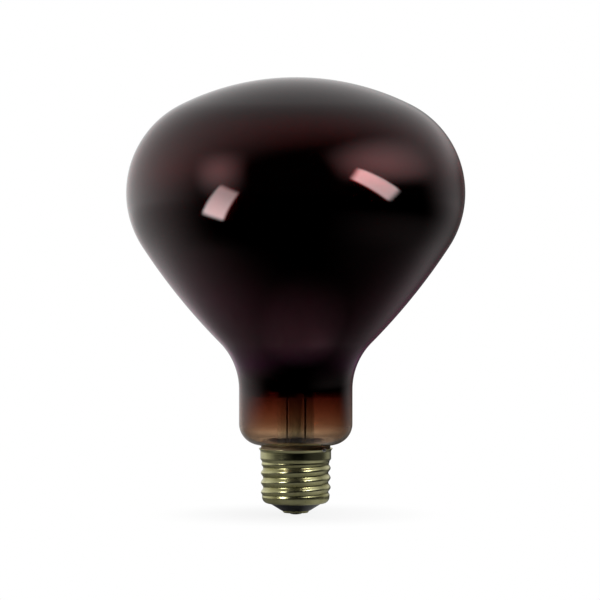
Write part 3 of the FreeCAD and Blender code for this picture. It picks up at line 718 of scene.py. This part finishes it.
class LAMP_OT_mirror_coat(bpy.types.Operator):
    """Metal film inside the reflector flank, from the shoulder into the neck"""

    bl_idname = "lamp.mirror_coat"
    bl_label = "Mirror Coat"

    def execute(self, context):
        g = context.scene.lamp_glass
        outside = glass_outline(g.wall + g.coat_gap)
        inside = glass_outline(g.wall + g.coat_gap + g.coat_wall)
        kept = (outside[:, 1] < g.coat_top) & (outside[:, 1] > g.coat_bottom)
        profile = np.vstack([inside[kept], outside[kept][::-1]])
        surface = lathe(profile, g.segments, wrap=True)
        add_piece("reflector_coat", surface, mirror_coat())
        return {"FINISHED"}


class LAMP_OT_screw_shell(bpy.types.Operator):
    """Rolled brass shell with its lip, thread, collar and flared rim"""

    bl_idname = "lamp.screw_shell"
    bl_label = "Screw Shell"

    def execute(self, context):
        """The radius is mean + depth(z) cos(angle - 2 pi z / pitch), with z from the thread's bottom.

        The depth fades out at both ends of the thread.
        """
        b = context.scene.lamp_base
        mean = (b.thread_major + b.thread_minor) / 2
        depth = (b.thread_major - b.thread_minor) / 2
        profile = np.vstack([self.face(b, mean, 0), self.face(b, mean, b.shell_wall)[::-1]])
        turn = (profile[:, 1:] - b.thread_bottom) / b.thread_pitch
        turns = (b.thread_top - b.thread_bottom) / b.thread_pitch
        ramp = np.clip(np.minimum(turn, turns - turn) / THREAD_FADE, 0, 1)
        ripple = depth * ramp**2 * (3 - 2 * ramp) * np.cos(round_angles(b.segments) - 2 * np.pi * turn)
        surface = lathe(profile, b.segments, wrap=True, ripple=ripple)
        piece = add_piece("threaded_shell", surface, rolled_brass(), ["screw_shell"])
        crest = np.clip(0.5 + 0.5 * ripple / depth, 0, 1)
        crest = np.where(ramp > 0, crest, PLAIN_WEAR)
        worn = piece.data.attributes.new("crest", "FLOAT", "POINT")
        worn.data.foreach_set("value", crest.astype(np.float32).ravel())
        return {"FINISHED"}

    @staticmethod
    def face(b, mean, inset):
        """One face of the sheet, from the lip's edge up to the rim."""
        lip = np.array([mean - b.lip_curve, b.thread_bottom])
        under = lip[1] - b.lip_curve + inset
        thread, collar, rim = mean - inset, b.collar_radius - inset, b.rim_radius - inset
        return np.vstack(
            [
                line((lip[0] - b.lip_overlap, under), (lip[0], under), steps=3),
                arc(lip, b.lip_curve - inset, -math.pi / 2, 0, steps=12),
                line((thread, b.thread_bottom), (thread, b.thread_top), steps=90),
                line((thread, b.thread_top), (collar, b.collar_bottom), steps=8),
                line((collar, b.collar_bottom), (collar, b.collar_top), steps=6),
                line((collar, b.collar_top), (rim, b.rim_top), steps=6),
                [(rim, b.rim_top)],
            ]
        )


class LAMP_OT_base_tip(bpy.types.Operator):
    """Insulator, contact plate, cement and the solder on tip and rim"""

    bl_idname = "lamp.base_tip"
    bl_label = "Base Tip"

    def execute(self, context):
        b = context.scene.lamp_base
        dress(black_glass(), "base_insulator")
        dress(plate_brass(), "centre_contact", "shield_grip")
        dress(baked_cement(), "basing_cement")
        solder = soft_solder()
        add_piece("tip_solder", self.tip(b), solder, ["contact_solder"])
        add_piece("rim_solder", self.blob(b), solder, ["side_solder"])
        return {"FINISHED"}

    @staticmethod
    def tip(b):
        """Dome z = h (1 - sqrt(1 - (r / R)^2)) whose rim wanders by a few waves, and a plug above it."""
        low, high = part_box("contact_solder")
        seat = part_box("centre_contact")[0].z
        share = np.sin(np.linspace(0, np.pi / 2, TIP_RINGS))
        dome = np.stack([b.solder_radius * share, seat * (1 - np.sqrt(1 - share**2))], -1)
        plug = [(b.solder_radius / 2, seat), (b.solder_radius / 2, high.z), (0, high.z)]
        profile = np.vstack([dome, plug])
        profile[:, 1] += low.z
        around = round_angles(TIP_STEPS)
        wander = sum(size * np.cos(waves * around + phase) for size, waves, phase in TIP_WAVES) - TIP_SHRINK
        ripple = np.zeros((len(profile), TIP_STEPS))
        ripple[: len(dome)] = dome[:, :1] * wander
        return lathe(profile, TIP_STEPS, ripple=ripple)

    @staticmethod
    def blob(b):
        """Ball drawn out along the rim, whose radius wanders with longitude a and latitude e.

        The radius is R (1 + oval cos(2 a + 1) cos(e) + lobes sin(3 a) cos(e)^2).
        """
        low, high = (np.array(corner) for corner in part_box("side_solder"))
        middle = (low + high) / 2
        outward = np.array([middle[0], middle[1], 0]) / math.hypot(middle[0], middle[1])
        sideways = np.array([-outward[1], outward[0], 0])
        upward = np.array([0, 0, 1])
        full = BLOB_SHARE * b.side_solder_radius
        rise = np.linspace(-np.pi / 2, np.pi / 2, BLOB_RINGS)[1:-1, None]
        around = round_angles(BLOB_STEPS)[None]
        level = np.cos(rise)
        oval = BLOB_OVAL * np.cos(2 * around + 1) * level
        lobes = BLOB_LOBES * np.sin(3 * around) * level**2
        radius = full * (1 + oval + lobes)
        flat = radius * level
        grid = (
            middle
            + (flat * np.cos(around))[..., None] * outward
            + (BLOB_SPREAD * flat * np.sin(around))[..., None] * sideways
            + (radius * np.sin(rise))[..., None] * upward
        )
        return skin(grid, first_pole=middle - full * upward, last_pole=middle + full * upward)


class LAMP_OT_mount(bpy.types.Operator):
    """Stem, leads, supports, heat shield and the coiled filament"""

    bl_idname = "lamp.mount"
    bl_label = "Inner Mount"

    def execute(self, context):
        m = context.scene.lamp_mount
        tungsten = drawn_wire("tungsten_wire", (0.30, 0.30, 0.31), (0.14, 0.14, 0.15))
        nickel = drawn_wire("nickel_wire", (0.66, 0.63, 0.58), (0.42, 0.39, 0.34))
        dress(clear_glass(), "stem", "exhaust_tube", "arbor_rod")
        dress(nickel, "side_lead", "centre_lead")
        dress(tungsten, *(f"support_wire_{number}" for number in range(1, 6)))
        dress(rolled_aluminium(), "heat_shield")
        add_piece("filament_coil", self.coil(m), tungsten, ["filament"])
        return {"FINISHED"}

    @staticmethod
    def coil(m):
        """Helix wound round a circle: radius R + c cos(wind), height H + c sin(wind), for coil radius c."""
        share = np.linspace(-0.5, 0.5, m.coil_turns * COIL_STEPS + 1)
        around = m.turn + m.ring_arc * share
        wind = 2 * np.pi * m.coil_turns * share
        radius = m.filament_ring + m.coil_radius * np.cos(wind)
        height = m.filament_height + m.coil_radius * np.sin(wind)
        path = np.stack([radius * np.cos(around), radius * np.sin(around), height], -1)
        along = np.stack([-np.sin(around), np.cos(around), np.zeros_like(around)], -1)
        return tube(path, along, m.coil_wire, WIRE_SIDES)


# Stage


def flag_shade(finish, across):
    """Share of mirrored light taken away on the floor and in the surroundings: painted shade where a dark
    screen would stand behind the bulb on its right; no screen is built.

    It starts behind the bulb's middle, fades out to the right and hides less of what glass lets through.
    """
    mirrored_share, let_through = 0.88, 0.6
    shade_depth = mirrored_share - finish.ray("Is Transmission Ray") * let_through
    return across.between(-0.02, 0.15) * (1 - across.between(0.4, 0.95)) * shade_depth


class LAMP_OT_stage(bpy.types.Operator):
    """Pale floor, panels of light, bright surroundings behind and the camera"""

    bl_idname = "lamp.stage"
    bl_label = "Stage"

    def execute(self, context):
        s = context.scene.lamp_stage
        scene = context.scene
        scene.view_settings.view_transform = "Standard"
        self.floor(s)
        self.surroundings(scene)
        for panel in PANELS:
            self.softbox(**panel)
        self.camera(s, scene)
        return {"FINISHED"}

    @staticmethod
    def floor(s):
        """Flat square that meets the tip. The camera sees it nearly white, and it keeps a soft shadow.

        Mirrored and refracted rays see painted light on it: a painted pool of light round the tip and
        another behind it, lit from the left, painted black shade elsewhere, a glowing white band further
        off and two faint glowing patches on the right, though the floor is no lamp.
        """
        # Shares of painted light: the pools round the tip and behind it, and the faint glowing patches on
        # the right.
        painted_disc_share, painted_behind_share, painted_near_share, painted_far_share = 0.62, 0.75, 0.18, 0.07
        # Painted glow of the white band further off: its strength near the bulb and how much it rises
        # further away.
        painted_band_start, painted_band_rise = 0.55, 0.30
        shadow = 0.12
        material, f = new_finish("floor_white")
        place = f.place()
        apart = f.node("ShaderNodeVectorMath", {"operation": "LENGTH"}, {0: place}, "Value")
        across = f.axis(place, "X")
        behind = f.axis(place, "Y") - across * LIGHT_TURN
        side = across / apart
        # Painted shade on the floor's right behind the bulb, as if screened off.
        unshaded = 1 - flag_shade(f, side)
        far = apart.between(0.05, 0.25)
        # Painted pool of light round the tip.
        painted_pool_disc = (1 - apart.between(0.01, 0.085)) * painted_disc_share
        # Painted pool of light behind the tip, turned to the left, less the painted shade on the right.
        painted_pool_behind = behind.between(-0.085, 0.10) * (1 - far) * unshaded * painted_behind_share
        # Outside the pools the floor is painted black: painted shade in front of the bulb.
        tint = f.mix(painted_pool_behind.most(painted_pool_disc), BLACK, tuple(s.painted_pool_colour))
        painted_pool_diffuse = f.node("ShaderNodeBsdfDiffuse", None, {"Color": tint})
        # Painted glow: the floor shines white further off behind the bulb, though it is no lamp.
        depth = painted_band_start + apart.between(0.2, 1.5) * painted_band_rise
        painted_glow_band = (behind / apart).between(-0.3, 1.0) * depth * far * unshaded
        # Faint painted glow on the right near the tip, and another further off.
        painted_glow_near = side.between(0.2, 1.0) * (1 - apart.between(0.02, 0.05)) * painted_near_share
        ring = apart.between(0.05, 0.2) * (1 - apart.between(0.2, 0.5))
        painted_glow_far = side.between(0.3, 1.0) * ring * painted_far_share
        # Painted pools on a diffuse floor, plus the painted glow.
        mirrored = f.both(painted_pool_diffuse, f.glow(painted_glow_band + (painted_glow_near + painted_glow_far)))
        white = f.ray("Is Camera Ray") * (1 - shadow + apart.between(0.004, 0.06) * shadow)
        f.show(f.node("ShaderNodeMixShader", None, {0: white, 1: mirrored, 2: f.glow(1.0)}))
        piece = new_sheet("floor", (s.floor_size / 2, s.floor_size / 2), material)

    @staticmethod
    def surroundings(scene):
        """White behind the bulb, above it and on its left, falling off to a dark room at the camera."""
        dark, bright, loss_overhead, lean = 0.002, 0.85, 0.52, 0.6
        world = bpy.data.worlds.new("studio")
        scene.world = world
        world.use_nodes = True
        f = Finish(world.node_tree)
        way = f.node("ShaderNodeTexCoord", output="Generated")
        up = f.axis(way, "Z")
        across = f.axis(way, "X")
        turned = f.axis(way, "Y") - across * LIGHT_TURN + up * lean
        unshaded = 1 - flag_shade(f, across) * (1 - up.between(0.04, 0.3))
        room = dark + turned.between(-0.3, 1.0) * (bright - up.most(0.0) * loss_overhead) * unshaded
        strength = room.most(f.ray("Is Camera Ray"))
        light = f.node("ShaderNodeBackground", None, {"Color": WHITE, "Strength": strength})
        f.node("ShaderNodeOutputWorld", None, {"Surface": light})

    @staticmethod
    def softbox(name, spot, way, reach, size, roll, radiance, soft, tail, climb=None, ceiling=None):
        """Bright panel at a reach along a way from a spot on the glass, facing it, rolled by some degrees.

        Its light fades over the soft share of each half side, and along its length to the tail's share. The
        camera doesn't see it. With climb it fades in over that range of the upward part of a ray's way, and
        with ceiling it fades out between those heights of what it lights, so that it doesn't whiten the
        crown's edge where that is seen from behind.
        """
        half = np.array(size) / 2
        material, f = new_finish(name)
        place = f.place()
        strength = (1 - f.axis(place, "X").between(-half[0], half[0]) * (1 - tail)) * radiance
        for letter, edge in zip("XY", half):
            strength = (1 - abs(f.axis(place, letter)).between(edge * (1 - soft), edge)) * strength
        back = f.axis(f.node("ShaderNodeNewGeometry", output="Incoming"), "Z")
        if climb:
            strength = (0 - back).between(*climb) * strength
        if ceiling:
            own_height = f.axis(f.node("ShaderNodeNewGeometry", output="Position"), "Z")
            lit_height = own_height + back * f.ray("Ray Length")
            strength = (1 - lit_height.between(*ceiling)) * strength
        f.show(f.both(f.glow(strength), f.node("ShaderNodeBsdfTransparent")))
        panel = new_sheet(name, half, material)
        aim = np.array(way) / np.linalg.norm(way)
        panel.location = np.array(spot) + reach * aim
        facing = Euler((math.acos(aim[2]), 0, math.atan2(aim[1], aim[0]) + math.pi / 2))
        panel.rotation_euler = (facing.to_matrix() @ Matrix.Rotation(math.radians(roll), 3, "Z")).to_euler()
        panel.visible_camera = False

    @staticmethod
    def camera(s, scene):
        """Long lens at the height of the bulb's middle, looking slightly down."""
        lens = bpy.data.cameras.new("camera")
        lens.sensor_width = SENSOR_WIDTH
        lens.lens = SENSOR_WIDTH * s.camera_distance / s.view_width
        camera = bpy.data.objects.new("camera", lens)
        scene.collection.objects.link(camera)
        lean = s.camera_elevation
        back, rise = s.camera_distance * math.cos(lean), s.camera_distance * math.sin(lean)
        camera.location = (s.aim_across, -back, s.aim_height + rise)
        camera.rotation_euler = (math.pi / 2 - lean, 0, 0)
        scene.camera = camera


class LAMP_PT_panel(bpy.types.Panel):
    """The bulb's pieces and their sizes"""

    bl_idname = "LAMP_PT_panel"
    bl_label = "Heat Lamp"
    bl_space_type = "VIEW_3D"
    bl_region_type = "UI"
    bl_category = "Heat Lamp"

    def draw(self, context):
        for operator in OPERATORS:
            self.layout.operator(operator.bl_idname)
        for name, group in SETTINGS.items():
            box = self.layout.box()
            for key in group.__annotations__:
                box.prop(getattr(context.scene, name), key)


SETTINGS = {
    "lamp_glass": LampGlass,
    "lamp_base": LampBase,
    "lamp_mount": LampMount,
    "lamp_stage": LampStage,
}
OPERATORS = (
    LAMP_OT_envelope,
    LAMP_OT_mirror_coat,
    LAMP_OT_screw_shell,
    LAMP_OT_base_tip,
    LAMP_OT_mount,
    LAMP_OT_stage,
)


def register():
    for group in SETTINGS.values():
        bpy.utils.register_class(group)
    for name, group in SETTINGS.items():
        setattr(bpy.types.Scene, name, PointerProperty(type=group))
    for operator in (*OPERATORS, LAMP_PT_panel):
        bpy.utils.register_class(operator)


def unregister():
    for operator in (LAMP_PT_panel, *reversed(OPERATORS)):
        bpy.utils.unregister_class(operator)
    for name, group in SETTINGS.items():
        delattr(bpy.types.Scene, name)
        bpy.utils.unregister_class(group)


def main():
    register()
    bpy.ops.lamp.envelope()
    bpy.ops.lamp.mirror_coat()
    bpy.ops.lamp.screw_shell()
    bpy.ops.lamp.base_tip()
    bpy.ops.lamp.mount()
    bpy.ops.lamp.stage()


if __name__ == "__main__":
    main()
